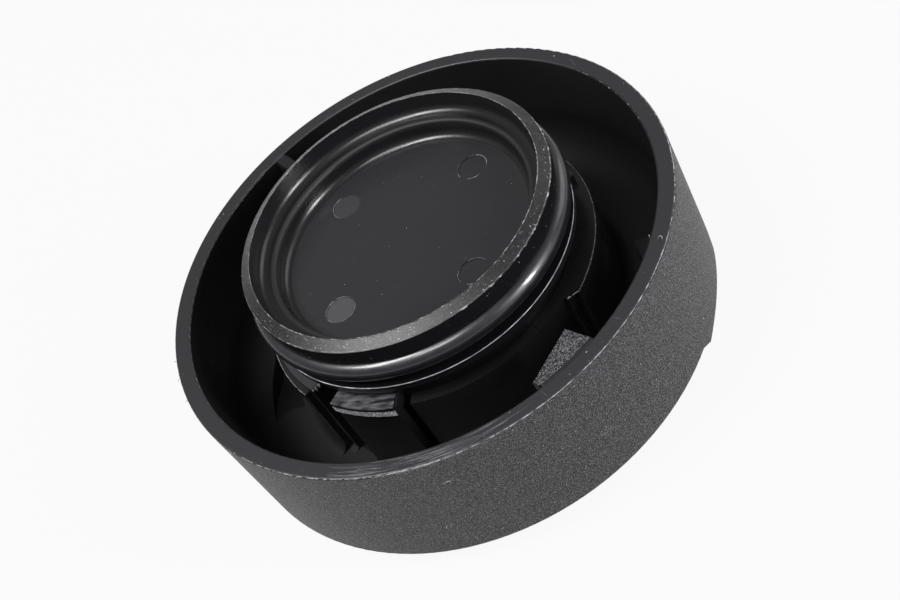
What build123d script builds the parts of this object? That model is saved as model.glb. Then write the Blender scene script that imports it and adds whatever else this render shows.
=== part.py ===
from build123d import *
import os
from math import cos, radians, sin, tan

# Oil filler cap standing on its grip bar with the plug end up.
# Origin: middle of the grip bar's face, +Z along the cap's axis towards the plug end, grip bar along X.
# Millimetres; angles are degrees about +Z from +X.

# Skirt and closed top
rim_radius = 35.0            # outside of the skirt at its rim
rim_land = 2.3               # skirt wall at the rim
skirt_height = 18.4          # rim to the bevelled edge of the closed top
outer_draft = 0.9            # the skirt narrows towards the closed top
inner_draft = 1.2
top_bevel = 1.5              # 45 degree edge between skirt and closed top
top_wall = 2.0               # closed top, also the face of the grip bar
floor_fillet = 6.0           # inside corner between skirt and floor
top_edge_fillet = 0.4
rim_edge_fillet = 0.3

# Grip on the closed top
bar_height = 1.8
bar_width = 9.2              # across the bar's face
bar_flank = 2.6              # run of each sloping flank from the face to the closed top
bar_edge = 0.5               # bevel along the face
bar_end_bevel = 2.9          # the bar's ends are flush with the skirt and bevelled to its face
hollow_bottom = 8.0          # shallow hollow inside the bar, across its bottom
hollow_width = 19.8          # and across its top, at the floor
hollow_inset = 5.5           # its ends inside the rim's outer edge

# Tube in the middle of the floor
tube_top_below_rim = 5.2
tube_inset = 1.5             # bore of the tube inside the plug's lip
tube_wall = 1.65
tube_foot = 1.8              # concave fillet round the tube's foot
pad_wall = 3.2               # thicker stretches and tongues of the tube
pad_start = -24.4            # one pad; the other is half a turn on
pad_end = 54.0
pad_step = 3.5               # the pad's outer skin stops short of both its ends by this angle
pad_skin = 0.8               # depth of that step
pad_rise = 1.2               # the pad's last stretch stands above the rest
pad_rise_angle = 26.0
seat_height = 1.0            # plug seat above the floor
seat_width = 1.3

# Snap tongues
tongue_start = -114.5        # one tongue; the other is half a turn on
tongue_end = -91.3
tongue_rise = 1.7            # tongue above the top of the tube
hook_reach = 0.7             # hook inwards from the bore
hook_lead = 0.5
brow_height = 0.3            # edge of the tongue's top, a fine slit and a raised band below it
brow_slit = 0.3
brow_band = 1.0
brow_relief = 0.25
slot_before = 11.5           # open slots either side of a tongue
slot_after = 3.5

# Bayonet lugs inside the rim
lug_height = 4.0
lug_drop = 0.2               # lug tops below the rim
ramp_lug_start = -52.3       # tapered lug, its ends slightly askew
ramp_lug_end = -38.2
ramp_lug_skew = 1.5
ramp_lug_thin = 1.5          # how far it stands in from the rim's inner edge at each end
ramp_lug_thick = 4.3
stop_lug_start = 136.5       # narrow lug
stop_lug_end = 140.3
stop_lug_depth = 3.8
lug_fillet = 0.3
stop_lug_fillet = 0.8        # the narrow lug is rounded over
lug_root = 0.9               # how far the lugs run into the skirt wall

# Sealing plug
lip_above_rim = 6.8
lip_radius = 21.4
lip_bevel_height = 0.8
lip_bevel_width = 1.5
lip_land = 2.5               # straight band between bevel and groove
flange_overhang = 0.3        # flange below the groove, beyond the lip
flange_height = 1.2
groove_corner = 0.8
collar_clearance = 0.2       # plug collar in the tube's bore
hook_clearance = 0.1         # under and inside the hooks
plug_wall = 2.0
plug_edge_fillet = 0.25

# Dish in the plug's end
dish_draft = 4.0
dish_step_depth = 2.85       # lip top to the shoulder
dish_depth = 5.55            # lip top to the dish floor
dish_step_inset = 3.8        # inner part of the dish inside the plug's lip
dish_fillet = 1.2
dish_floor_wall = 1.8
mark_radius = 2.05           # ejector-pin marks
mark_inset = 4.8             # middle of a mark inside the inner part of the dish
mark_depth = 0.12
mark_angle = 53.0
mark_count = 4

# O-ring
ring_section = 3.0
ring_seat = 2.05             # inside of the ring below the lip's band
ring_clearance = 0.05        # groove floor inside the ring
ring_play = 0.1              # ring below the groove's upper flank
groove_width = 4.5

# Heights
top_face = bar_height
edge = top_face + top_bevel
floor = top_face + top_wall
rim = edge + skirt_height
tube_top = rim - tube_top_below_rim
seat = floor + seat_height
lip_top = rim + lip_above_rim
groove_top = lip_top - lip_bevel_height - lip_land
groove_bottom = groove_top - groove_width
flange_bottom = groove_bottom - flange_height
collar_top = tube_top - hook_clearance

# Radii
edge_radius = rim_radius - skirt_height * tan(radians(outer_draft))
inner_rim_radius = rim_radius - rim_land
inner_floor_radius = inner_rim_radius - (rim - floor) * tan(radians(inner_draft))
flange_radius = lip_radius + flange_overhang
ring_inner_radius = lip_radius - ring_seat
dish_step_radius = lip_radius - dish_step_inset
mark_circle = dish_step_radius - mark_inset
tube_bore_radius = lip_radius - tube_inset
tube_radius = tube_bore_radius + tube_wall
pad_radius = tube_bore_radius + pad_wall
foot_reach = 1.2 * tube_foot
collar_radius = tube_bore_radius - collar_clearance
neck_radius = tube_bore_radius - hook_reach - hook_clearance
groove_radius = ring_inner_radius - ring_clearance
hollow_radius = min(groove_radius, neck_radius) - plug_wall


def polar(radius, angle):
    return (radius * cos(radians(angle)), radius * sin(radians(angle)))


def turned(points, fillets=()):
    # solid of revolution about Z from a closed (radius, height) outline
    # fillets pairs a corner's number with a radius
    with BuildPart() as made:
        with BuildSketch(Plane.XZ):
            with BuildLine():
                Polyline(*points, close=True)
            make_face()
            for index, size in fillets:
                corner = Vector(points[index][0], points[index][1])
                fillet(vertices().sort_by_distance(corner)[0], size)
        revolve(axis=Axis.Z)
    return made.part


def ring_sector(inner, outer, start, end, bottom, top):
    # part of a ring between two angles
    reach = 2 * outer
    middle = (start + end) / 2
    wedge = Polyline((0, 0), polar(reach, start), polar(reach, middle), polar(reach, end), close=True)
    ring = extrude(Circle(outer) - Circle(inner), top - bottom)
    return Pos(0, 0, bottom) * (ring & extrude(make_face(wedge), top - bottom))


def half_turns(piece):
    return piece + Rot(0, 0, 180) * piece


def across(points):
    # prism along X from a (y, height) outline, longer than the cap is wide
    outline = make_face(Plane.YZ * Polyline(*points, close=True))
    return extrude(outline, 2 * rim_radius, both=True)


def trapezoid(half_low, half_high, low, high):
    return [(-half_high, high), (-half_low, low), (half_low, low), (half_high, high)]


def grip_bar():
    # low bar with sloping flanks, its ends a continuation of the skirt's wall
    top = (edge + floor) / 2
    slope = tan(radians(outer_draft))
    face_radius = edge_radius - edge * slope
    wall = turned([(0, 0), (face_radius, 0), (face_radius + top * slope, top), (0, top)], [])
    half_face = bar_width / 2
    flanks = across(trapezoid(half_face, half_face + bar_flank * top / bar_height, 0, top))
    flanks = chamfer(flanks.edges().filter_by(Axis.X).sort_by(Axis.Z)[:2], bar_edge)
    half_length = face_radius - bar_end_bevel
    ends = Rot(0, 0, 90) * across(trapezoid(half_length, half_length + top, 0, top))
    return wall & flanks & ends


def bar_channel():
    # the bar is hollow from the inside, apart from where the tube crosses it
    brim = floor + top_wall / 2
    run = (hollow_width - hollow_bottom) / 2 / (floor - top_wall)
    trough = across(trapezoid(hollow_bottom / 2, hollow_width / 2 + run * (brim - floor), top_wall, brim))
    outer = Circle(rim_radius - hollow_inset) - Circle(pad_radius + foot_reach)
    inner = Circle(tube_bore_radius - seat_width)
    return trough & Pos(0, 0, top_wall) * (extrude(outer, brim - top_wall) + extrude(inner, floor - top_wall))


def foot(radius):
    # ring with a concave fillet from the floor up to a wall of this radius
    sunk = top_wall / 2
    return turned(
        [
            (radius - tube_wall / 2, floor - sunk),
            (radius + foot_reach, floor - sunk),
            (radius + foot_reach, floor),
            (radius, floor),
            (radius, floor + foot_reach),
            (radius - tube_wall / 2, floor + foot_reach),
        ],
        [(3, tube_foot)],
    )


def tube():
    ring = extrude(Circle(tube_radius) - Circle(tube_bore_radius), tube_top - top_face)
    seat_ring = extrude(Circle(tube_radius) - Circle(tube_bore_radius - seat_width), seat - top_face)
    bore, step_radius = tube_bore_radius, pad_radius - pad_skin
    skin_start, skin_end = pad_start + pad_step, pad_end - pad_step
    raised = pad_end - pad_rise_angle
    pad = (
        ring_sector(bore, step_radius, pad_start, pad_end, top_face, tube_top)
        + ring_sector(bore, pad_radius, skin_start, skin_end, top_face, tube_top)
        + ring_sector(bore, step_radius, raised, pad_end, top_face, tube_top + pad_rise)
    )
    pad_foot = foot(pad_radius) & ring_sector(bore, 2 * pad_radius, skin_start, skin_end, top_face, tube_top)
    return Pos(0, 0, top_face) * (ring + seat_ring) + foot(tube_radius) + half_turns(pad + pad_foot)


def slot_cuts():
    # open slots either side of the tongues, down to the floor
    reach = pad_radius + foot_reach
    before = ring_sector(tube_bore_radius, reach, tongue_start - slot_before, tongue_start, floor, rim)
    after = ring_sector(tube_bore_radius, reach, tongue_end, tongue_end + slot_after, floor, rim)
    return half_turns(before + after)


def tongues():
    # upright springs whose hooks hold the plug's collar down
    tongue_top = tube_top + tongue_rise
    hook_radius = tube_bore_radius - hook_reach
    face_radius = pad_radius - brow_relief
    slit_bottom = tongue_top - brow_height - brow_slit
    section = turned([
        (tube_bore_radius, top_face),
        (face_radius, top_face),
        (face_radius, slit_bottom - brow_band),
        (pad_radius, slit_bottom - brow_band),
        (pad_radius, slit_bottom),
        (face_radius - brow_relief, slit_bottom),
        (face_radius - brow_relief, tongue_top - brow_height),
        (pad_radius, tongue_top - brow_height),
        (pad_radius, tongue_top),
        (hook_radius + hook_lead, tongue_top),
        (hook_radius, tongue_top - hook_lead),
        (hook_radius, tube_top),
        (tube_bore_radius, tube_top),
    ]) + foot(face_radius)
    reach = pad_radius + foot_reach
    width = ring_sector(hook_radius / 2, reach, tongue_start, tongue_end, top_face, tongue_top)
    return half_turns(section & width)


def lug(corners, rounding):
    # block standing in from the skirt wall
    top = rim - lug_drop
    block = Pos(0, 0, top - lug_height) * extrude(make_face(Polyline(*corners, close=True)), lug_height)
    return fillet(block.faces().sort_by(Axis.Z)[-1].edges(), rounding)


def bayonet_lugs():
    root = inner_rim_radius + lug_root
    ramp = lug([
        polar(inner_rim_radius - ramp_lug_thin, ramp_lug_start),
        polar(inner_rim_radius - ramp_lug_thick, ramp_lug_end),
        polar(root, ramp_lug_end + ramp_lug_skew),
        polar(root, (ramp_lug_start + ramp_lug_end + 2 * ramp_lug_skew) / 2),
        polar(root, ramp_lug_start + ramp_lug_skew),
    ], lug_fillet)
    stop = lug([
        polar(inner_rim_radius - stop_lug_depth, stop_lug_start),
        polar(inner_rim_radius - stop_lug_depth, stop_lug_end),
        polar(root, stop_lug_end),
        polar(root, stop_lug_start),
    ], stop_lug_fillet)
    return ramp + stop


def cap_shell():
    skirt = turned(
        [
            (0, top_face),
            (edge_radius - top_bevel, top_face),
            (edge_radius, edge),
            (rim_radius, rim),
            (inner_rim_radius, rim),
            (inner_floor_radius, floor),
            (0, floor),
        ],
        [
            (1, top_edge_fillet),
            (2, top_edge_fillet),
            (3, rim_edge_fillet),
            (4, rim_edge_fillet),
            (5, floor_fillet),
        ],
    )
    body = skirt + grip_bar() - bar_channel()
    return body + (tube() - slot_cuts()) + tongues() + bayonet_lugs()


def sealing_plug():
    lip_edge = lip_radius - lip_bevel_width
    wall_foot = lip_edge - dish_step_depth * tan(radians(dish_draft))
    outline = [
        (0, lip_top - dish_depth),
        (dish_step_radius, lip_top - dish_depth),
        (dish_step_radius, lip_top - dish_step_depth),
        (wall_foot, lip_top - dish_step_depth),
        (lip_edge, lip_top),
        (lip_radius, lip_top - lip_bevel_height),
        (lip_radius, groove_top),
        (groove_radius, groove_top),
        (groove_radius, groove_bottom),
        (flange_radius, groove_bottom),
        (flange_radius, flange_bottom),
        (neck_radius, flange_bottom),
        (neck_radius, collar_top),
        (collar_radius, collar_top),
        (collar_radius, seat),
        (hollow_radius, seat),
        (hollow_radius, lip_top - dish_depth - dish_floor_wall),
        (0, lip_top - dish_depth - dish_floor_wall),
    ]
    body = turned(outline, [
        (1, dish_fillet),
        (2, dish_fillet / 3),
        (3, dish_fillet),
        (6, plug_edge_fillet),
        (7, groove_corner),
        (8, groove_corner),
        (10, plug_edge_fillet),
        (14, plug_edge_fillet),
        (16, dish_fillet),
    ])
    mark = Pos(0, 0, lip_top - dish_depth - mark_depth) * extrude(Circle(mark_radius), mark_depth)
    for number in range(mark_count):
        x, y = polar(mark_circle, mark_angle + number * 360 / mark_count)
        body -= Pos(x, y, 0) * mark
    return body


def o_ring():
    half = ring_section / 2
    height = groove_top - ring_play - half
    return Pos(0, 0, height) * Torus(ring_inner_radius + half, half)


os.makedirs("parts", exist_ok=True)
for name, build in (("cap_shell", cap_shell), ("sealing_plug", sealing_plug), ("o_ring", o_ring)):
    piece = build()
    piece.label = name
    export_step(piece, f"parts/{name}.step")
    size = piece.bounding_box().size
    print(f"{name}: {len(piece.solids())} solid, {piece.volume:.0f} mm3")
    print(f"  {size.X:.2f} x {size.Y:.2f} x {size.Z:.2f} mm")
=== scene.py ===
import bmesh
import bpy
import numpy as np
from mathutils import Matrix, Vector


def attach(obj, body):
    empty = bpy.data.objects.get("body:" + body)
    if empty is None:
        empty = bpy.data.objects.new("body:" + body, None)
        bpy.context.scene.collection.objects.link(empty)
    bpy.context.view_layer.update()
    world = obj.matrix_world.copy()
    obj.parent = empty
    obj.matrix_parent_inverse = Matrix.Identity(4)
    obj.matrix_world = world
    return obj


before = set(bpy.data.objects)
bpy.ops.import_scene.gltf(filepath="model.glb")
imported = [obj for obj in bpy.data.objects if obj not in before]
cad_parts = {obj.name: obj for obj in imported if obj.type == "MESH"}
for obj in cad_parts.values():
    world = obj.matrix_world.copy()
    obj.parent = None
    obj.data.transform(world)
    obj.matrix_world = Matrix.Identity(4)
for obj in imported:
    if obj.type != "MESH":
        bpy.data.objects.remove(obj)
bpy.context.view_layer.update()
scene = bpy.context.scene
mm = 0.001
print("frame loaded:", ", ".join(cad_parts))

# heights and radii of the cap in millimetres, as the solids have them
cap = {"rim": 21.7, "rimRadius": 35.0, "draft": 0.0157, "lipRadius": 21.4, "dishFloor": 22.95,
       "markCircle": 12.8, "markRadius": 2.05, "rimLand": (32.95, 34.7)}
upward = [0.0, 0.0, 1.0]


# helpers

def linear(code):
    # sRGB hex colour to linear red, green, blue and alpha
    raw = np.array([int(code[i:i + 2], 16) for i in (1, 3, 5)]) / 255
    low, high = raw / 12.92, ((raw + 0.055) / 1.055) ** 2.4
    return (*np.where(raw <= 0.04045, low, high).tolist(), 1.0)


def addNode(tree, kind, sockets=(), **settings):
    # one node: settings are its own properties, sockets its inputs in order or by name, each a value,
    # a hex colour, another node's output, or a node, which gives its first open output
    node = tree.nodes.new(kind)
    for key, value in settings.items():
        setattr(node, key, value)
    for key, value in sockets.items() if isinstance(sockets, dict) else enumerate(sockets):
        if isinstance(value, bpy.types.Node):
            value = next(output for output in value.outputs if output.enabled)
        if isinstance(value, bpy.types.NodeSocket):
            tree.links.new(value, node.inputs[key])
        else:
            node.inputs[key].default_value = linear(value) if isinstance(value, str) else value
    return node


def newMaterial(name):
    # a material with an empty tree, ready for its nodes
    material = bpy.data.materials.new(name)
    material.use_nodes = True
    tree = material.node_tree
    tree.nodes.clear()
    return material, tree


def gridFaces(rows, columns, wrapRows=False, wrapColumns=False):
    # quads of a rows by columns grid of points, joined end to end where it wraps
    i = np.arange(rows if wrapRows else rows - 1)[:, None]
    j = np.arange(columns if wrapColumns else columns - 1)[None, :]
    ahead, beside = (i + 1) % rows, (j + 1) % columns
    here, there = i * columns, ahead * columns
    return np.stack([here + j, there + j, there + beside, here + beside], -1).reshape(-1, 4)


def addPiece(name, points, faces, material, smooth=True):
    # points in millimetres; a closed shell whose volume comes out negative has its faces turned round
    points = points.reshape(-1, 3)
    corners = points[faces]
    volume = np.einsum("ij,ij->i", corners[:, 0], np.cross(corners[:, 1], corners[:, 2])).sum()
    if faces.shape[1] == 4:
        volume += np.einsum("ij,ij->i", corners[:, 0], np.cross(corners[:, 2], corners[:, 3])).sum()
    faces = faces[:, ::-1] if volume < 0 else faces
    mesh = bpy.data.meshes.new(name)
    mesh.from_pydata((points * mm).tolist(), [], faces.tolist())
    mesh.polygons.foreach_set("use_smooth", np.full(len(faces), smooth))
    mesh.materials.append(material)
    piece = bpy.data.objects.new(name, mesh)
    scene.collection.objects.link(piece)
    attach(piece, "root")
    return piece


# materials

noiseSpan = (0.3, 0.7)  # nearly all of a noise lies between these


def cylinderCoordinates(tree):
    # Object coordinates, with the radius from the cap's axis and the height, in metres
    place = addNode(tree, "ShaderNodeTexCoord").outputs["Object"]
    split = addNode(tree, "ShaderNodeSeparateXYZ", [place])
    flat = addNode(tree, "ShaderNodeVectorMath", [place, (1, 1, 0)], operation="MULTIPLY")
    radius = addNode(tree, "ShaderNodeVectorMath", [flat], operation="LENGTH")
    return place, radius, split.outputs["Z"]


def band(tree, value, low, high, soft=0.05):
    # 1 where a length in metres lies between low and high millimetres, with soft edges
    rise = addNode(tree, "ShaderNodeMapRange", [value, (low - soft) * mm, (low + soft) * mm])
    fall = addNode(tree, "ShaderNodeMapRange", [value, (high - soft) * mm, (high + soft) * mm, 1, 0])
    return addNode(tree, "ShaderNodeMath", [rise, fall], operation="MULTIPLY")


def zone(tree, radius, height, radii, heights, soft=0.05):
    # 1 inside a ring-shaped part of the cap, by its radii and heights in millimetres
    within, between = band(tree, radius, *radii), band(tree, height, *heights, soft)
    return addNode(tree, "ShaderNodeMath", [within, between], operation="MULTIPLY")


def joined(tree, first, *others):
    # 1 where any of several is 1
    for other in others:
        first = addNode(tree, "ShaderNodeMath", [first, other], operation="MAXIMUM")
    return first


def layered(tree, base, layers, kind):
    # colours or roughnesses laid over a base one after another, each where its part of the cap is
    for where, laid in layers:
        base = addNode(tree, "ShaderNodeMix", {"Factor": where, "A": base, "B": laid}, data_type=kind)
    return base


def erodedGrain(tree, place, finish, light):
    # colour, height and crests of a spark-eroded skin: a fine noise gives the pits and crests, their colour
    # grain with painted shade in the pits and painted light on the crests; a coarser one picks out single
    # crests as painted glints
    grain = addNode(tree, "ShaderNodeTexNoise",
                    {"Vector": place, "Scale": 1 / (finish["grainSize"] * mm), "Detail": 2,
                     "Roughness": 0.55})
    # the coarser noise places single crests that take a near-white colour: painted glints
    paintedGlint = addNode(tree, "ShaderNodeTexNoise",
                    {"Vector": place, "Scale": 1 / (finish["paintedGlintSize"] * mm), "Detail": 1})
    crest = addNode(tree, "ShaderNodeMapRange", [grain, *finish["crest"]])
    spark = addNode(tree, "ShaderNodeMapRange", [paintedGlint, *finish["spark"]])
    skin = layered(tree, finish["grainPitPaintedShade"], [(crest, light), (spark, finish["paintedGlint"])], "RGBA")
    return skin, grain, crest


shellFinish = {
    # sizes in millimetres; crest, spark and streak are the noise at which each starts to show and is full
    # the grain's pit and crest colours carry painted shade and painted light; the glint colour is a painted
    # glint
    "black": "#1b1b1c", "grainPitPaintedShade": "#040405", "grainCrestPaintedLight": "#58585b", "paintedGlint": "#b0b0b4",
    # the lugs' crest colour and the greys of the rim's land and the pads' tops are painted light; the well's
    # black is painted shade
    "lugCrestPaintedLight": "#5f5f63", "wellPaintedShade": "#0c0c0d", "rimLandPaintedLight": "#28282a", "padTopPaintedLight": "#363638",
    # the tongues' streak colour and the band's two colours are painted light
    "tongueDark": "#0c0c0d", "tongueStreakPaintedLight": "#5c5c60", "bandPaintedLightDim": "#6a6a6e", "bandPaintedLightBright": "#f2f2f6",
    "grainSize": 0.16, "grainDepth": 0.12, "crest": (0.50, 0.57), "paintedGlintSize": 0.20, "spark": (0.72, 0.78),
    "streakSize": 0.55, "streakStretch": (0.22, 1, 1), "streak": (0.38, 0.64), "swirlSize": 6.0,
    "grainRoughness": 0.52, "smoothRoughness": (0.20, 0.30), "wellRoughness": 0.6, "rimRoughness": 0.40,
    "tongueRoughness": 0.46, "ior": 1.5,
}
shellZones = {
    # radii and heights of the parts with a finish of their own, some with softer ends in height
    "skirt": ((34.25, 60), (-5, 21.46)), "skirtFoot": ((32.5, 60), (-5, 3.6)),
    "closedTop": ((-9, 60), (-5, 1.9)), "rimLand": ((32.5, 60), (21.46, 30)),
    "lugRing": ((25, 32.25), (17.45, 30)), "well": ((22, 33.6), (1.95, 11), 1.2),
    "padTop": ((19.5, 22.6), (17.6, 17.74)), "tongueBand": ((23.0, 24), (16.5, 17.54)),
    "tongueTop": ((19, 23.3), (18.12, 18.5)), "tongueEdge": ((22.95, 23.3), (17.95, 18.5)),
}
frontHalf = (-60, 0)  # of the cap along y; the grain is on the lug there


def shellPlastic():
    # Glass-filled polyamide 66, injection moulded. The tool is spark eroded outside and on the lugs, which
    # gives a fine grain with painted shade in its pits, painted light on its crests and painted glints, and
    # polished inside, which gives deep glossy black with a duller floor, painted darker as shade in the well.
    # The rim's land and the pads' tops are painted grey as painted light. The tongues' tops are streaked,
    # with pale streaks of painted light, and their bands carry near-white crests of painted light.
    finish = shellFinish
    material, tree = newMaterial("black_polyamide_moulded_spark_eroded")
    place, radius, height = cylinderCoordinates(tree)
    part = {name: zone(tree, radius, height, *limits) for name, limits in shellZones.items()}
    front = band(tree, addNode(tree, "ShaderNodeSeparateXYZ", [place]).outputs["Y"], *frontHalf)
    lugs = addNode(tree, "ShaderNodeMath", [part["lugRing"], front], operation="MULTIPLY")
    tongueTop = joined(tree, part["tongueTop"], part["tongueEdge"])
    grainy = joined(tree, part["skirt"], part["skirtFoot"], part["closedTop"], lugs, part["tongueBand"])
    # crest colour: grain with painted light, paler still on the lugs' crests
    light = layered(tree, finish["grainCrestPaintedLight"], [(lugs, finish["lugCrestPaintedLight"])], "RGBA")
    skin, grain, crest = erodedGrain(tree, place, finish, light)
    stretched = addNode(tree, "ShaderNodeVectorMath", [place, finish["streakStretch"]], operation="MULTIPLY")
    streaks = addNode(tree, "ShaderNodeTexNoise",
                      {"Vector": stretched, "Scale": 1 / (finish["streakSize"] * mm), "Detail": 3,
                       "Roughness": 0.6})
    streak = addNode(tree, "ShaderNodeMapRange", [streaks, *finish["streak"]])
    # pale streaks on the tongues' tops and near-white crests on their bands: painted light
    tongueTopPaintedLight = layered(tree, finish["tongueDark"], [(streak, finish["tongueStreakPaintedLight"])], "RGBA")
    bandPaintedLight = layered(tree, finish["bandPaintedLightDim"], [(crest, finish["bandPaintedLightBright"])], "RGBA")
    # the well's darker black is painted shade; the greys of the rim's land and the pads' tops are painted
    # light
    colour = layered(tree, finish["black"], [
        (part["well"], finish["wellPaintedShade"]), (grainy, skin), (part["rimLand"], finish["rimLandPaintedLight"]),
        (part["padTop"], finish["padTopPaintedLight"]), (tongueTop, tongueTopPaintedLight), (part["tongueBand"], bandPaintedLight)], "RGBA")
    swirl = addNode(tree, "ShaderNodeTexNoise",
                    {"Vector": place, "Scale": 1 / (finish["swirlSize"] * mm), "Detail": 2})
    polished = addNode(tree, "ShaderNodeMapRange", [swirl, *noiseSpan, *finish["smoothRoughness"]])
    rough = layered(tree, polished, [
        (part["well"], finish["wellRoughness"]), (part["rimLand"], finish["rimRoughness"]),
        (joined(tree, tongueTop, part["padTop"]), finish["tongueRoughness"]),
        (grainy, finish["grainRoughness"])], "FLOAT")
    pitted = addNode(tree, "ShaderNodeMath", [grain, grainy], operation="MULTIPLY")
    grooved = addNode(tree, "ShaderNodeMath", [streaks, tongueTop], operation="MULTIPLY")
    relief = addNode(tree, "ShaderNodeMath", [pitted, grooved], operation="ADD")
    bump = addNode(tree, "ShaderNodeBump", {"Height": relief, "Strength": 1.0,
                                            "Distance": finish["grainDepth"] * mm})
    shader = addNode(tree, "ShaderNodeBsdfPrincipled",
                     {"Base Color": colour, "Roughness": rough, "IOR": finish["ior"], "Normal": bump})
    addNode(tree, "ShaderNodeOutputMaterial", {"Surface": shader})
    return material


plugFinish = {
    # as for the shell; marks are the azimuths and strengths of the dull discs
    # grain and glint colours carry painted shade, light and glints as on the shell; the dish's grey is a
    # painted sheen
    "black": "#161618", "grainPitPaintedShade": "#060607", "grainCrestPaintedLight": "#2c2c2e", "paintedGlint": "#b8b8bc",
    "dishPaintedSheen": "#272729", "markGrey": "#414143", "marks": [(143, 0.4), (-127, 1.0)],
    "grainSize": 0.15, "grainDepth": 0.045, "crest": (0.47, 0.57), "paintedGlintSize": 0.22, "spark": (0.70, 0.76),
    "swirlSize": 5.0, "grainRoughness": 0.33, "smoothRoughness": 0.22, "dishRoughness": (0.23, 0.32),
    "shoulderRoughness": 0.6, "markRoughness": 0.46, "ior": 1.53,
}
plugZones = {
    "lipBevel": ((19.95, 60), (27.66, 40)), "dish": ((-9, 19.9), (22.6, 40)),
    "dishFloor": ((-9, 16.6), (22.6, 23.1)), "shoulder": ((17.5, 18.2), (25.0, 25.8), 0.1),
}


def plugPlastic():
    # Polyamide again, from a tool that is coarsely eroded on the lip's bevel, stoned in the dish and
    # polished elsewhere: coarse grain with painted light, shade and glints on the lip, satin in the dish with
    # a painted sheen in its floor's grey, dull discs where pins pushed.
    finish = plugFinish
    material, tree = newMaterial("black_polyamide_moulded_stoned_and_eroded")
    place, radius, height = cylinderCoordinates(tree)
    part = {name: zone(tree, radius, height, *limits) for name, limits in plugZones.items()}
    skin, grain = erodedGrain(tree, place, finish, finish["grainCrestPaintedLight"])[:2]
    discs = []
    for turn, strength in finish["marks"]:
        middle = tuple(around(turn, cap["markCircle"], cap["dishFloor"]) * mm)
        away = addNode(tree, "ShaderNodeVectorMath", [place, middle], operation="DISTANCE")
        disc = band(tree, away, -9, cap["markRadius"])
        discs.append(addNode(tree, "ShaderNodeMath", [disc, strength], operation="MULTIPLY"))
    stamped = joined(tree, *discs)
    colour = layered(tree, finish["black"], [
        (part["lipBevel"], skin), (part["dishFloor"], finish["dishPaintedSheen"]),
        (stamped, finish["markGrey"])], "RGBA")
    swirl = addNode(tree, "ShaderNodeTexNoise",
                    {"Vector": place, "Scale": 1 / (finish["swirlSize"] * mm), "Detail": 3})
    stoned = addNode(tree, "ShaderNodeMapRange", [swirl, *noiseSpan, *finish["dishRoughness"]])
    rough = layered(tree, finish["smoothRoughness"], [
        (part["dish"], stoned), (part["shoulder"], finish["shoulderRoughness"]),
        (stamped, finish["markRoughness"]), (part["lipBevel"], finish["grainRoughness"])], "FLOAT")
    pitted = addNode(tree, "ShaderNodeMath", [grain, part["lipBevel"]], operation="MULTIPLY")
    bump = addNode(tree, "ShaderNodeBump", {"Height": pitted, "Strength": 1.0,
                                            "Distance": finish["grainDepth"] * mm})
    shader = addNode(tree, "ShaderNodeBsdfPrincipled",
                     {"Base Color": colour, "Roughness": rough, "IOR": finish["ior"], "Normal": bump})
    addNode(tree, "ShaderNodeOutputMaterial", {"Surface": shader})
    return material


ringFinish = {"black": "#16161b", "roughness": (0.31, 0.44), "ior": 1.6, "film": 0.6, "filmRoughness": 0.13,
              "smearSize": 2.2}


def ringRubber():
    # Nitrile rubber, compression moulded and tumbled: bluish black with a soft oily gloss in smears.
    finish = ringFinish
    material, tree = newMaterial("nitrile_rubber_moulded")
    place = addNode(tree, "ShaderNodeTexCoord").outputs["Object"]
    smear = addNode(tree, "ShaderNodeTexNoise",
                    {"Vector": place, "Scale": 1 / (finish["smearSize"] * mm), "Detail": 3, "Roughness": 0.6})
    rough = addNode(tree, "ShaderNodeMapRange", [smear, *noiseSpan, *finish["roughness"]])
    shader = addNode(tree, "ShaderNodeBsdfPrincipled",
                     {"Base Color": finish["black"], "Roughness": rough, "IOR": finish["ior"],
                      "Coat Weight": finish["film"], "Coat Roughness": finish["filmRoughness"]})
    addNode(tree, "ShaderNodeOutputMaterial", {"Surface": shader})
    return material


flashFinish = {
    # the pale thin colours of flash and web are partly painted highlight along edges; the edge colours are a
    # painted highlight
    "black_polyamide_flash_torn_and_painted_highlight": {"thin": "#a2a2a6", "thick": "#464648", "patch": 1.2, "roughness": 0.34},
    "black_polyamide_edge_painted_highlight": {"thin": "#e4e4e8", "thick": "#98989c", "patch": 1.6, "roughness": 0.3},
    "black_polyamide_web_torn_and_painted_highlight": {"thin": "#454547", "thick": "#2c2c2d", "patch": 0.7, "roughness": 0.48},
    "black_polyamide_scuffed": {"thin": "#67676b", "thick": "#464648", "patch": 4.0, "roughness": 0.42},
}
flashThin = (0.4, 0.62)  # noise at which flash starts to turn thin, and is thin


def tornFlash(name):
    # The same polyamide squeezed into a thin web at the tool's parting and torn: paler where it is stretched
    # thin, so edges show as a broken light line; that paleness stands in part for painted highlight along the
    # edges, and the edge material's near-white is a painted highlight. The scuffed one is the pale of scratch
    # wear.
    finish = flashFinish[name]
    material, tree = newMaterial(name)
    place = addNode(tree, "ShaderNodeTexCoord").outputs["Object"]
    patch = addNode(tree, "ShaderNodeTexNoise",
                    {"Vector": place, "Scale": 1 / (finish["patch"] * mm), "Detail": 2})
    thin = addNode(tree, "ShaderNodeMapRange", [patch, *flashThin])
    colour = layered(tree, finish["thick"], [(thin, finish["thin"])], "RGBA")
    shader = addNode(tree, "ShaderNodeBsdfPrincipled",
                     {"Base Color": colour, "Roughness": finish["roughness"], "IOR": plugFinish["ior"]})
    addNode(tree, "ShaderNodeOutputMaterial", {"Surface": shader})
    return material


dustFinish = {"pale": "#b4b2ad", "dull": "#6f6d69", "patch": 1.5, "paleFrom": (0.4, 0.6),
              "roughness": 0.8, "ior": 1.5}


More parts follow.
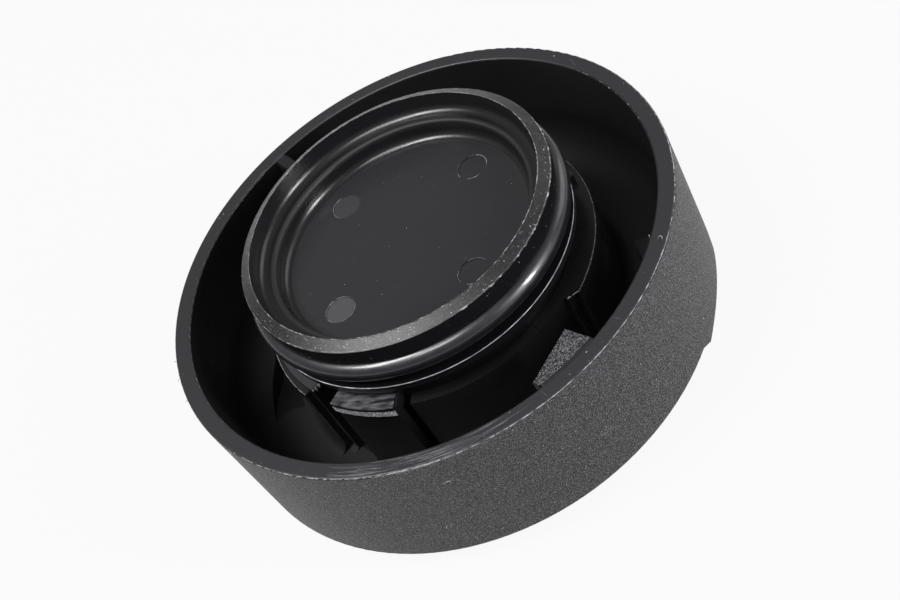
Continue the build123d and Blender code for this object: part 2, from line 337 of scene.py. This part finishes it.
def paleDust():
    # Plastic shavings and lint from the deflashing: pale, dry and matt.
    finish = dustFinish
    material, tree = newMaterial("polyamide_shavings_dry")
    place = addNode(tree, "ShaderNodeTexCoord").outputs["Object"]
    patch = addNode(tree, "ShaderNodeTexNoise",
                    {"Vector": place, "Scale": 1 / (finish["patch"] * mm), "Detail": 1})
    pale = addNode(tree, "ShaderNodeMapRange", [patch, *finish["paleFrom"]])
    colour = layered(tree, finish["dull"], [(pale, finish["pale"])], "RGBA")
    shader = addNode(tree, "ShaderNodeBsdfPrincipled",
                     {"Base Color": colour, "Roughness": finish["roughness"], "IOR": finish["ior"]})
    addNode(tree, "ShaderNodeOutputMaterial", {"Surface": shader})
    return material


# flash, burrs, scratches and dust

def around(azimuth, radius, height):
    # points at azimuths in degrees, radii and heights in millimetres
    turn = np.radians(azimuth)
    return np.stack(np.broadcast_arrays(radius * np.cos(turn), radius * np.sin(turn), height), -1)


def raggedReach(setting):
    # how far a crest stands out at each step: from low to high by a closed ragged line, which is random
    # knots raised to a power and joined by straight runs
    steps, knots = setting["steps"], setting["knots"]
    values = np.random.default_rng(setting["seed"]).random(knots) ** setting["power"]
    line = np.interp(np.arange(steps) / steps * knots, np.arange(knots + 1), np.append(values, values[0]))
    return setting["low"] + (setting["high"] - setting["low"]) * line


def spanned(azimuth, spans, soft):
    # strength inside each span of azimuth, falling to nothing over soft degrees outside it
    inside = [np.clip((half - np.abs((azimuth - middle + 180) % 360 - 180)) / soft + 1, 0, 1) * strength
              for middle, half, strength in spans]
    return np.max(inside, axis=0)


burrs = {
    "rim_outer_flash": {
        "foot": [(34.83, 21.655), (34.945, 21.54)], "crest": (34.88, 21.59), "lift": (0.75, 0.66),
        "low": 0.02, "high": 0.22, "knots": 760, "power": 2.4, "steps": 2300, "soft": 12, "seed": 11,
        "spans": [(-95, 22, 0.9), (-30, 50, 0.9), (170, 50, 0.1), (60, 60, 0.15)], "slot": "shell_plastic"},
    "rim_inner_flash": {
        "foot": [(32.92, 21.61), (32.79, 21.48)], "crest": (32.84, 21.55), "lift": (-0.62, 0.78),
        "low": 0.0, "high": 0.19, "knots": 620, "power": 3.0, "steps": 1700, "soft": 10, "seed": 12,
        "spans": [(70, 18, 0.7), (-80, 18, 0.5), (20, 25, 0.12), (-150, 40, 0.06)], "slot": "shell_plastic"},
    "lip_edge_burr": {
        "foot": [(19.87, 28.50), (19.99, 28.46)], "crest": (19.93, 28.47), "lift": (0.1, 1.0),
        "low": 0.0, "high": 0.13, "knots": 480, "power": 3.4, "steps": 1200, "soft": 14, "seed": 13,
        "spans": [(125, 70, 1.0), (15, 45, 0.8), (-150, 30, 0.6), (-80, 40, 0.25)], "slot": "plug_plastic"},
    "bevel_foot_burr": {
        "foot": [(21.26, 27.79), (21.395, 27.55)], "crest": (21.36, 27.68), "lift": (0.8, 0.6),
        "low": 0.0, "high": 0.10, "knots": 420, "power": 3.2, "steps": 1300, "soft": 12, "seed": 14,
        "spans": [(-15, 42, 1.0), (-130, 16, 0.5), (120, 60, 0.6)], "slot": "plug_plastic"},
    "flange_burr": {
        "foot": [(21.60, 20.70), (21.695, 20.60)], "crest": (21.65, 20.66), "lift": (0.78, 0.62),
        "low": 0.09, "high": 0.12, "knots": 90, "power": 1.6, "steps": 1200, "soft": 10, "seed": 15,
        "spans": [(-60, 80, 1.0), (120, 95, 0.7)], "slot": "plug_plastic"},
}
edgeBurr = {"low": 0.03, "high": 0.06, "power": 1.0, "soft": 2, "slot": "shell_plastic"}
tubeEdge = {"foot": [(21.40, 16.50), (21.545, 16.35)], "crest": (21.49, 16.45), "lift": (0.78, 0.62)}
padEdge = {"foot": [(22.95, 16.50), (23.095, 16.35)], "crest": (23.04, 16.45), "lift": (0.78, 0.62)}
burrArcs = {
    "tube_edge_burr": {**edgeBurr, **tubeEdge, "arc": (-86.5, -26.0), "knots": 15, "steps": 240, "seed": 16},
    "tube_edge_burr_twin": {**edgeBurr, **tubeEdge, "arc": (93.5, 154.0), "knots": 15, "steps": 240,
                            "seed": 17},
    "pad_edge_burr": {**edgeBurr, **padEdge, "arc": (-20.5, 50.0), "knots": 17, "steps": 280, "seed": 18},
    "pad_edge_burr_twin": {**edgeBurr, **padEdge, "arc": (159.5, 230.0), "knots": 17, "steps": 280,
                           "seed": 19},
}


def closeEnds(piece):
    # points that meet at the ends of an arc or strand become one
    shell = bmesh.new()
    shell.from_mesh(piece.data)
    bmesh.ops.remove_doubles(shell, verts=shell.verts, dist=1e-7)
    shell.to_mesh(piece.data)
    shell.free()
    return piece


def burrRing(name, setting, material):
    # three-sided section carried round the axis: two feet on the solid and a crest whose reach is a
    # ragged line times the strength of the azimuth's span; with no strength the crest stays buried
    azimuth = np.arange(setting["steps"]) * 360 / setting["steps"]
    reach = raggedReach(setting) * spanned(azimuth, setting["spans"], setting["soft"])
    (footA, heightA), (footB, heightB), (crest, top) = *setting["foot"], setting["crest"]
    points = np.stack([around(azimuth, footA, heightA),
                       around(azimuth, crest + setting["lift"][0] * reach, top + setting["lift"][1] * reach),
                       around(azimuth, footB, heightB)])
    faces = gridFaces(3, setting["steps"], wrapRows=True, wrapColumns=True)
    return addPiece(name, points, faces, material)


def burrArc(name, setting, material):
    # the same section along part of a turn: feet and crest close in on one point at both ends
    azimuth = np.linspace(*setting["arc"], setting["steps"])
    reach = raggedReach(setting)
    ends = np.clip(np.minimum(azimuth - azimuth[0], azimuth[-1] - azimuth) / setting["soft"], 0, 1)
    (footA, heightA), (footB, heightB), (crest, top) = *setting["foot"], setting["crest"]
    lift = setting["lift"]
    points = np.stack([around(azimuth, crest + (footA - crest) * ends, top + (heightA - top) * ends),
                       around(azimuth, crest + lift[0] * reach * ends, top + lift[1] * reach * ends),
                       around(azimuth, crest + (footB - crest) * ends, top + (heightB - top) * ends)])
    faces = gridFaces(3, setting["steps"], wrapRows=True)
    return closeEnds(addPiece(name, points, faces, material))


def strandGrid(paths, normals, width, thick, sides=6):
    # flattened tube along each path: side and normal directions scaled by a width and a thickness
    # that both follow the root of half a sine wave, so they shrink to nothing at the two ends
    along = np.gradient(paths, axis=1)
    along /= np.linalg.norm(along, axis=2, keepdims=True)
    side = np.cross(normals, along)
    side /= np.linalg.norm(side, axis=2, keepdims=True)
    up = np.cross(along, side)
    t = np.linspace(0, 1, paths.shape[1])
    swell = np.sin(np.pi * t)[None, :, None, None] ** 0.5
    swell[:, [0, -1]] = 0
    turn = np.linspace(0, 2 * np.pi, sides, endpoint=False)[None, None, :, None]
    width = np.asarray(width).reshape(-1, 1, 1, 1)
    thick = np.asarray(thick).reshape(-1, 1, 1, 1)
    section = np.cos(turn) * width * side[:, :, None] + np.sin(turn) * thick * up[:, :, None]
    return paths[:, :, None] + swell * section


def addStrands(name, grid, material):
    # all strands in one piece: the quads of one, numbered on from strand to strand
    count, rows, columns = grid.shape[:3]
    faces = gridFaces(rows, columns, wrapColumns=True)
    faces = (faces[None] + rows * columns * np.arange(count)[:, None, None]).reshape(-1, 4)
    return closeEnds(addPiece(name, grid, faces, material))


def bezier(controls, count=20):
    # cubic curve from four control points each: sum of the Bernstein weights times the points
    t = np.linspace(0, 1, count)[:, None]
    weights = np.hstack([(1 - t) ** 3, 3 * t * (1 - t) ** 2, 3 * t ** 2 * (1 - t), t ** 3])
    return np.einsum("tk,nkx->ntx", weights, np.asarray(controls, float))


speck = {"askew": [0.31, 0.17, 0.93], "flat": 0.6, "uneven": (0.6, 1.3)}  # askew: no normal lies along it


def addSpecks(name, centres, normals, sizes, material, chance):
    # irregular octahedra, half sunk: four corners in the surface, one above and one below it
    side = np.cross(normals, speck["askew"])
    side /= np.linalg.norm(side, axis=1, keepdims=True)
    front = np.cross(normals, side)
    upper = normals * speck["flat"]
    corners = np.stack([side, front, -side, -front, upper, -upper], 1)
    corners *= sizes[:, None, None] * chance.uniform(*speck["uneven"], (len(centres), 6, 1))
    eight = np.array([[0, 1, 4], [1, 2, 4], [2, 3, 4], [3, 0, 4], [1, 0, 5], [2, 1, 5], [3, 2, 5], [0, 3, 5]])
    faces = (eight[None] + 6 * np.arange(len(centres))[:, None, None]).reshape(-1, 3)
    return addPiece(name, corners + centres[:, None], faces, material, False)


padWeb = {"back": -1.6, "inner": 20.5, "outer": 22.28, "height": 17.66, "thick": 0.22, "proud": 0.03,
          "droop": 0.35, "across": 41, "along": 5}
tornEnds = {
    "left_pad_torn_end": {**padWeb, "azimuth": -126.0, "reach": 1.5, "knots": 12, "seed": 21},
    "left_pad_twin_torn_end": {**padWeb, "azimuth": 54.0, "reach": 1.2, "knots": 8, "seed": 22},
}


def tornEnd(name, setting, material):
    # thin web over the end of a pad: on each of two levels a sheet from inside the pad to an edge whose
    # azimuth is a ragged line across the radius, the two levels joined all round
    chance = np.random.default_rng(setting["seed"])
    across, along = setting["across"], setting["along"]
    radius = np.linspace(setting["inner"], setting["outer"], across)
    edge = np.interp(np.linspace(0, 1, across), np.linspace(0, 1, setting["knots"]),
                     chance.random(setting["knots"])) * setting["reach"]
    share = np.linspace(0, 1, along)[:, None]
    azimuth = setting["azimuth"] + setting["back"] * (1 - share) + edge[None] * share
    droop = -setting["droop"] * share ** 2 * np.abs(edge[None] / setting["reach"])
    upper = around(azimuth, radius[None], setting["height"] + droop + setting["proud"])
    lower = around(azimuth, radius[None], setting["height"] + droop - setting["thick"])
    loop = np.concatenate([upper, lower[::-1]])
    faces = gridFaces(2 * along, across, wrapRows=True)
    i = np.arange(along - 1)
    first = np.stack([i, i + 1, 2 * along - 2 - i, 2 * along - 1 - i], -1) * across
    faces = np.concatenate([faces, first[:, ::-1], first + across - 1])
    return addPiece(name, loop, faces, material, False)


scratches = {
    # start and end azimuth in degrees, start and end radius in millimetres on the rim's land
    "drawn": [(-52.2, -51.8, 33.1, 34.5), (-31.6, -31.2, 32.9, 34.3), (56.0, 52.8, 34.2, 33.3),
              (67.5, 66.9, 34.6, 33.9)],
    "count": 64, "azimuths": (-101, -66), "radii": (33.0, 34.6), "length": (2.0, 13.0), "width": 0.032,
    "thick": 0.015, "lean": 0.12, "spread": (0.5, 1.4), "within": (32.95, 34.72), "proud": 0.004,
    "points": 16, "seed": 31,
}


def rimScratches(setting, material):
    # streaks on the rim's land: straight in azimuth and radius, some of them placed one by one
    chance = np.random.default_rng(setting["seed"])
    start = chance.uniform(*setting["azimuths"], setting["count"])
    stretch = chance.uniform(*setting["length"], setting["count"])
    radius = chance.uniform(*setting["radii"], setting["count"])
    lean = chance.normal(0, setting["lean"], setting["count"])
    drawn = np.array(setting["drawn"])
    ends = np.concatenate([np.stack([start, start + stretch, radius, radius + lean], -1), drawn])
    t = np.linspace(0, 1, setting["points"])[None]
    azimuth = ends[:, :1] + (ends[:, 1:2] - ends[:, :1]) * t
    reach = ends[:, 2:3] + (ends[:, 3:] - ends[:, 2:3]) * t
    paths = around(azimuth, np.clip(reach, *setting["within"]), cap["rim"] + setting["proud"])
    normals = np.broadcast_to(upward, paths.shape)
    width = setting["width"] * chance.uniform(*setting["spread"], len(ends))
    grid = strandGrid(paths, normals, width, np.full(len(ends), setting["thick"]))
    return addStrands("rim_scratches", grid, material)


whiskers = {
    # azimuth, radius and height of the root, then three control points as out, round and up from it,
    # then the thickness against the usual one
    "placed": [
        (-12.0, 34.40, 21.68, (0.4, 0.5, 0.5), (-0.7, 1.3, 0.6), (-0.55, -0.15, 0.3)),
        (7.5, 34.82, 21.62, (0.3, 0.3, 0.3), (0.3, 0.9, 0.45), (-0.3, 0.9, 0.2)),
        (-7.0, 34.86, 21.60, (0.3, -0.2, 0.3), (0.3, -0.6, 0.5), (0.0, -0.9, 0.3)),
        (67.0, 34.60, 21.66, (0.1, 0.1, 0.3), (0.0, 0.3, 0.5), (-0.4, 0.5, 0.2)),
        (-106.8, 34.85, 21.60, (0.2, 0.3, 0.1), (0.5, 0.7, 0.1), (0.25, 1.2, 0.35)),
        (-125.1, 34.88, 21.58, (0.3, 0.2, 0.2), (0.5, 0.4, 0.3), (0.4, 0.8, 0.1)),
        (-145.5, 34.90, 21.56, (0.2, -0.1, 0.1), (0.5, 0.1, 0.1), (0.45, 0.5, 0.2)),
        (-152.8, 34.90, 21.56, (0.3, 0.1, 0.1), (0.6, 0.3, -0.1), (0.5, 0.6, 0.0)),
        (-158.3, 34.90, 21.56, (0.2, 0.2, 0.1), (0.4, 0.3, 0.2), (0.5, 0.1, 0.2)),
        (-59.8, 34.86, 21.60, (0.2, 0.1, 0.2), (0.4, 0.4, 0.3), (0.1, 0.7, 0.3)),
        (-51.7, 34.86, 21.60, (0.2, 0.2, 0.2), (0.3, 0.5, 0.2), (0.2, 0.8, 0.1)),
        (-11.2, 32.84, 21.66, (-0.1, 0.2, 0.3), (-0.4, 0.4, 0.3), (-0.3, 0.7, 0.1)),
        (42.2, 32.84, 21.66, (-0.1, 0.1, 0.2), (-0.3, 0.2, 0.3), (-0.2, 0.4, 0.2)),
        (39.4, 32.84, 21.66, (-0.2, 0.1, 0.2), (-0.3, -0.2, 0.3), (-0.2, -0.4, 0.1)),
        (-24.4, 22.12, 16.50, (0.2, 0.1, 0.22), (0.35, 0.4, 0.2), (0.4, 0.6, 0.0), 2.4),
        (-22.9, 22.50, 16.50, (0.3, 0.5, 0.14), (0.55, 0.9, 0.1), (0.85, 1.2, 0.0), 1.9),
    ],
    "radius": 0.042, "scale": 0.75, "askew": [0.13, 0.21, 0.97],
}


def edgeWhiskers(setting, material):
    # curled slivers of flash: cubic curves from a root on the rim's edge, round in section
    rows = setting["placed"]
    azimuth = np.radians([row[0] for row in rows])
    root = around(np.degrees(azimuth), np.array([row[1] for row in rows]), np.array([row[2] for row in rows]))
    out = np.stack([np.cos(azimuth), np.sin(azimuth), 0 * azimuth], -1)
    tangent = np.stack([-np.sin(azimuth), np.cos(azimuth), 0 * azimuth], -1)
    offsets = setting["scale"] * np.array([[(0, 0, 0), *row[3:6]] for row in rows])
    controls = root[:, None] + offsets[..., :1] * out[:, None] + offsets[..., 1:2] * tangent[:, None]
    controls[..., 2] += offsets[..., 2]
    paths = bezier(controls)
    normals = np.broadcast_to(setting["askew"], paths.shape)
    width = setting["radius"] * np.array([row[6] if len(row) > 6 else 1.0 for row in rows])
    return addStrands("rim_whiskers", strandGrid(paths, normals, width, width), material)


uprights = {
    # azimuth and radius of the pads' upright moulded edges, each given a painted highlight line
    "placed": [(-24.4, 22.29), (-20.9, 23.09), (155.6, 22.29), (159.1, 23.09),
               (54.0, 22.29), (50.5, 23.09), (-126.0, 22.29), (-129.5, 23.09)],
    "low": 6.2, "high": 16.4, "width": 0.035, "points": 12,
}


def uprightEdgeHighlights(setting, material):
    # painted highlight lines on the pads' blunt upright edges: straight strands from low to high, round in
    # section
    rows = np.array(setting["placed"])
    height = np.linspace(setting["low"], setting["high"], setting["points"])[None]
    paths = around(rows[:, :1], rows[:, 1:] + 0 * height, height)
    normals = around(rows[:, :1] + 0 * height, 1.0, 0 * height)
    width = np.full(len(rows), setting["width"])
    grid = strandGrid(paths, normals, width, width)
    return addStrands("pad_upright_painted_highlights", grid, material)


lint = {
    # azimuth and height on the skirt, length along the azimuth and rise over it, bow, all but azimuth in mm
    "placed": [(-76.7, 17.4, 0.95, -0.1, 0.1), (-83.2, 8.6, 0.35, 0.6, 0.2), (-81.5, 8.1, 0.3, 0.55, -0.15),
               (-22, 14.0, 0.5, 0.2, 0.1), (140, 9.0, 0.8, 0.3, 0.2), (40, 15.0, 0.6, -0.3, 0.1)],
    "width": 0.05, "thick": 0.035, "proud": 0.01, "points": 14,
}


def skirtLint(setting, material):
    # lint on the skirt: a short bowed line in azimuth and height, laid on the drafted wall
    rows = np.array(setting["placed"])
    t = np.linspace(-1, 1, setting["points"])[None]
    azimuth = rows[:, :1] + np.degrees(rows[:, 2:3] * t / 2 / cap["rimRadius"])
    height = rows[:, 1:2] + rows[:, 3:4] * t / 2 + rows[:, 4:5] * (1 - t ** 2)
    radius = cap["rimRadius"] - (cap["rim"] - height) * cap["draft"] + setting["proud"]
    paths = around(azimuth, radius, height)
    normals = around(azimuth, 1.0, 0.0 * azimuth)
    count = len(rows)
    grid = strandGrid(paths, normals, np.full(count, setting["width"]), np.full(count, setting["thick"]))
    return addStrands("skirt_lint", grid, material)


markRidges = {
    # which mark, start and end of the ridge round it in degrees, width in millimetres
    "arcs": [(53, -20, 110, 0.05), (53, 150, 235, 0.035), (53, 255, 310, 0.045),
             (-37, 40, 120, 0.03), (-37, 150, 240, 0.03), (-37, 250, 300, 0.04),
             (-127, 60, 250, 0.035), (-127, 280, 380, 0.03), (143, 120, 260, 0.025)],
    "thick": 0.03, "proud": 0.004, "points": 40,
}


def pinRidges(setting, material):
    # thin web pressed up round the ejector pins: arcs of a circle about each mark's middle
    arcs = np.array(setting["arcs"], float)
    t = np.linspace(0, 1, setting["points"])[None]
    middle = around(arcs[:, 0], cap["markCircle"], np.full(len(arcs), cap["dishFloor"] + setting["proud"]))
    turn = arcs[:, 1:2] + (arcs[:, 2:3] - arcs[:, 1:2]) * t
    paths = middle[:, None] + around(turn, cap["markRadius"], 0.0 * t)
    normals = np.broadcast_to(upward, paths.shape)
    grid = strandGrid(paths, normals, arcs[:, 3], np.full(len(arcs), setting["thick"]))
    return addStrands("ejector_mark_ridges", grid, material)


dust = {
    # how many on each part; share, middle and spread in degrees of the skirt's specks that gather
    "skirt": 230, "dish": 34, "lip": 46, "rim": 44, "gathered": 0.45, "middle": -45, "spreadAround": 28,
    "skirtHeights": (4.2, 21.0), "dishRadius": 15.8, "lipHeights": (25.9, 27.5),
    "size": 0.048, "spread": 0.45, "dishSize": 0.8, "lipSize": 0.9, "seed": 41,
}


def dustSpecks(setting, material):
    # specks on the skirt's wall, the rim, the dish and the lip's side, at random places and sizes
    chance = np.random.default_rng(setting["seed"])

    def speckSizes(count):
        return setting["size"] * np.exp(chance.normal(0, setting["spread"], count))

    def anywhere(count):
        return chance.uniform(-180, 180, count)

    count = setting["skirt"]
    azimuth = np.where(chance.random(count) < setting["gathered"],
                       chance.normal(setting["middle"], setting["spreadAround"], count), anywhere(count))
    height = chance.uniform(*setting["skirtHeights"], count)
    radius = cap["rimRadius"] - (cap["rim"] - height) * cap["draft"]
    addSpecks("skirt_dust", around(azimuth, radius, height), around(azimuth, 1.0, 0 * azimuth),
              speckSizes(count), material, chance)
    count = setting["rim"]
    azimuth = anywhere(count)
    centres = around(azimuth, chance.uniform(*cap["rimLand"], count), cap["rim"])
    addSpecks("rim_dust", centres, np.broadcast_to(upward, centres.shape), speckSizes(count), material,
              chance)
    count = setting["dish"]
    azimuth = anywhere(count)
    centres = around(azimuth, setting["dishRadius"] * np.sqrt(chance.random(count)), cap["dishFloor"])
    addSpecks("dish_dust", centres, np.broadcast_to(upward, centres.shape),
              setting["dishSize"] * speckSizes(count), material, chance)
    count = setting["lip"]
    azimuth = anywhere(count)
    centres = around(azimuth, cap["lipRadius"], chance.uniform(*setting["lipHeights"], count))
    addSpecks("lip_dust", centres, around(azimuth, 1.0, 0 * azimuth), setting["lipSize"] * speckSizes(count),
              material, chance)


for name, made in (("cap_shell", shellPlastic()), ("sealing_plug", plugPlastic()), ("o_ring", ringRubber())):
    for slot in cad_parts[name].material_slots:
        slot.material = made
print("materials on the three solids")

# flash and web are paler where thin, partly painted highlight; the edge material is a painted highlight on
# the flange
flash, paintedEdgeHighlight, web, scuffed = [tornFlash(name) for name in flashFinish]
shavings = paleDust()
for name, setting in burrs.items():
    burrRing(name, setting, paintedEdgeHighlight if name == "flange_burr" else flash)
for name, setting in burrArcs.items():
    burrArc(name, setting, web)
for name, setting in tornEnds.items():
    tornEnd(name, setting, web)
print("flash and burrs on the edges")
rimScratches(scratches, scuffed)
edgeWhiskers(whiskers, flash)
uprightEdgeHighlights(uprights, web)
pinRidges(markRidges, flash)
skirtLint(lint, shavings)
dustSpecks(dust, shavings)
print("scratches, whiskers and dust in place")


# stage: floor, world, lamps and camera

stage = {"floorHalf": 12.0, "floor": "#989898", "world": 0.23, "white": 1.0, "seenWhite": 0.93}


def studioFloor():
    # pale board; camera and mirror rays see it part lit, part plain white, so it keeps the shadow
    material, tree = newMaterial("white_board")
    matt = addNode(tree, "ShaderNodeBsdfDiffuse", {"Color": stage["floor"]})
    white = addNode(tree, "ShaderNodeEmission", {"Color": (1, 1, 1, 1), "Strength": stage["white"]})
    ray = addNode(tree, "ShaderNodeLightPath").outputs
    shown = joined(tree, ray["Is Camera Ray"], ray["Is Glossy Ray"], ray["Is Transmission Ray"])
    seen = addNode(tree, "ShaderNodeMath", [shown, stage["seenWhite"]], operation="MULTIPLY")
    both = addNode(tree, "ShaderNodeMixShader", [seen, matt, white])
    addNode(tree, "ShaderNodeOutputMaterial", {"Surface": both})
    half = stage["floorHalf"]
    mesh = bpy.data.meshes.new("floor")
    corners = [(-half, -half, 0), (half, -half, 0), (half, half, 0), (-half, half, 0)]
    mesh.from_pydata(corners, [], [(0, 1, 2, 3)])
    mesh.materials.append(material)
    floor = bpy.data.objects.new("floor", mesh)
    scene.collection.objects.link(floor)


def studioWorld():
    # plain grey light from all round, the same for every ray
    world = bpy.data.worlds.new("tent")
    world.use_nodes = True
    tree = world.node_tree
    tree.nodes.clear()
    sky = addNode(tree, "ShaderNodeBackground", {"Color": (1, 1, 1, 1), "Strength": stage["world"]})
    addNode(tree, "ShaderNodeOutputWorld", {"Surface": sky})
    scene.world = world


lamps = {
    "leftSoftbox": {"azimuth": -145, "elevation": 62, "distance": 0.6, "size": (0.16, 0.26), "power": 2.9},
    "frontSoftbox": {"azimuth": -88, "elevation": 64, "distance": 0.6, "size": (0.20, 0.16), "power": 1.1},
    "rightStrip": {"azimuth": -11, "elevation": 22, "distance": 0.6, "size": (0.07, 0.26), "power": 2.8},
    "rightWall": {"azimuth": 50, "elevation": 25, "distance": 0.8, "size": (0.50, 0.40), "power": 1.0},
}


def studioLamps():
    # soft boxes that face the rim's middle, each from its azimuth, elevation and distance in metres
    middle = Vector((0, 0, cap["rim"] * mm))
    for name, setting in lamps.items():
        turn, lift = np.radians(setting["azimuth"]), np.radians(setting["elevation"])
        way = Vector((np.cos(turn) * np.cos(lift), np.sin(turn) * np.cos(lift), np.sin(lift)))
        data = bpy.data.lights.new(name, "AREA")
        data.shape = "RECTANGLE"
        data.size, data.size_y = setting["size"]
        data.energy = setting["power"]
        lamp = bpy.data.objects.new(name, data)
        lamp.location = middle + way * setting["distance"]
        lamp.rotation_euler = way.to_track_quat("Z", "Y").to_euler()
        scene.collection.objects.link(lamp)


view = {
    "turn": 8.0, "lens": 60, "sensor": 36, "clipStart": 0.01,
    "eye": [1.75, -3.741, 3.623],  # from the middle of the rim, in rim radii
    "axes": [[0.9152, 0.2629, 0.3052], [0, 0.757, -0.652], [-0.403, 0.598, 0.693]],  # right, up, back
}


def photoCamera():
    # the photograph's view: eye and axes as fitted, both turned about the cap's axis
    turn = np.radians(view["turn"])
    spin = np.array([[np.cos(turn), -np.sin(turn), 0], [np.sin(turn), np.cos(turn), 0], [0, 0, 1]])
    place = np.eye(4)
    place[:3, :3] = spin @ np.array(view["axes"])
    place[:3, 3] = (spin @ np.array(view["eye"]) * cap["rimRadius"] + [0, 0, cap["rim"]]) * mm
    data = bpy.data.cameras.new("camera")
    data.lens = view["lens"]
    data.sensor_width = view["sensor"]
    data.clip_start = view["clipStart"]
    camera = bpy.data.objects.new("camera", data)
    scene.collection.objects.link(camera)
    camera.matrix_world = Matrix(place.tolist())
    scene.camera = camera


studioFloor()
studioWorld()
studioLamps()
photoCamera()
scene.view_settings.view_transform = "Standard"
print("stage, lamps and camera set")
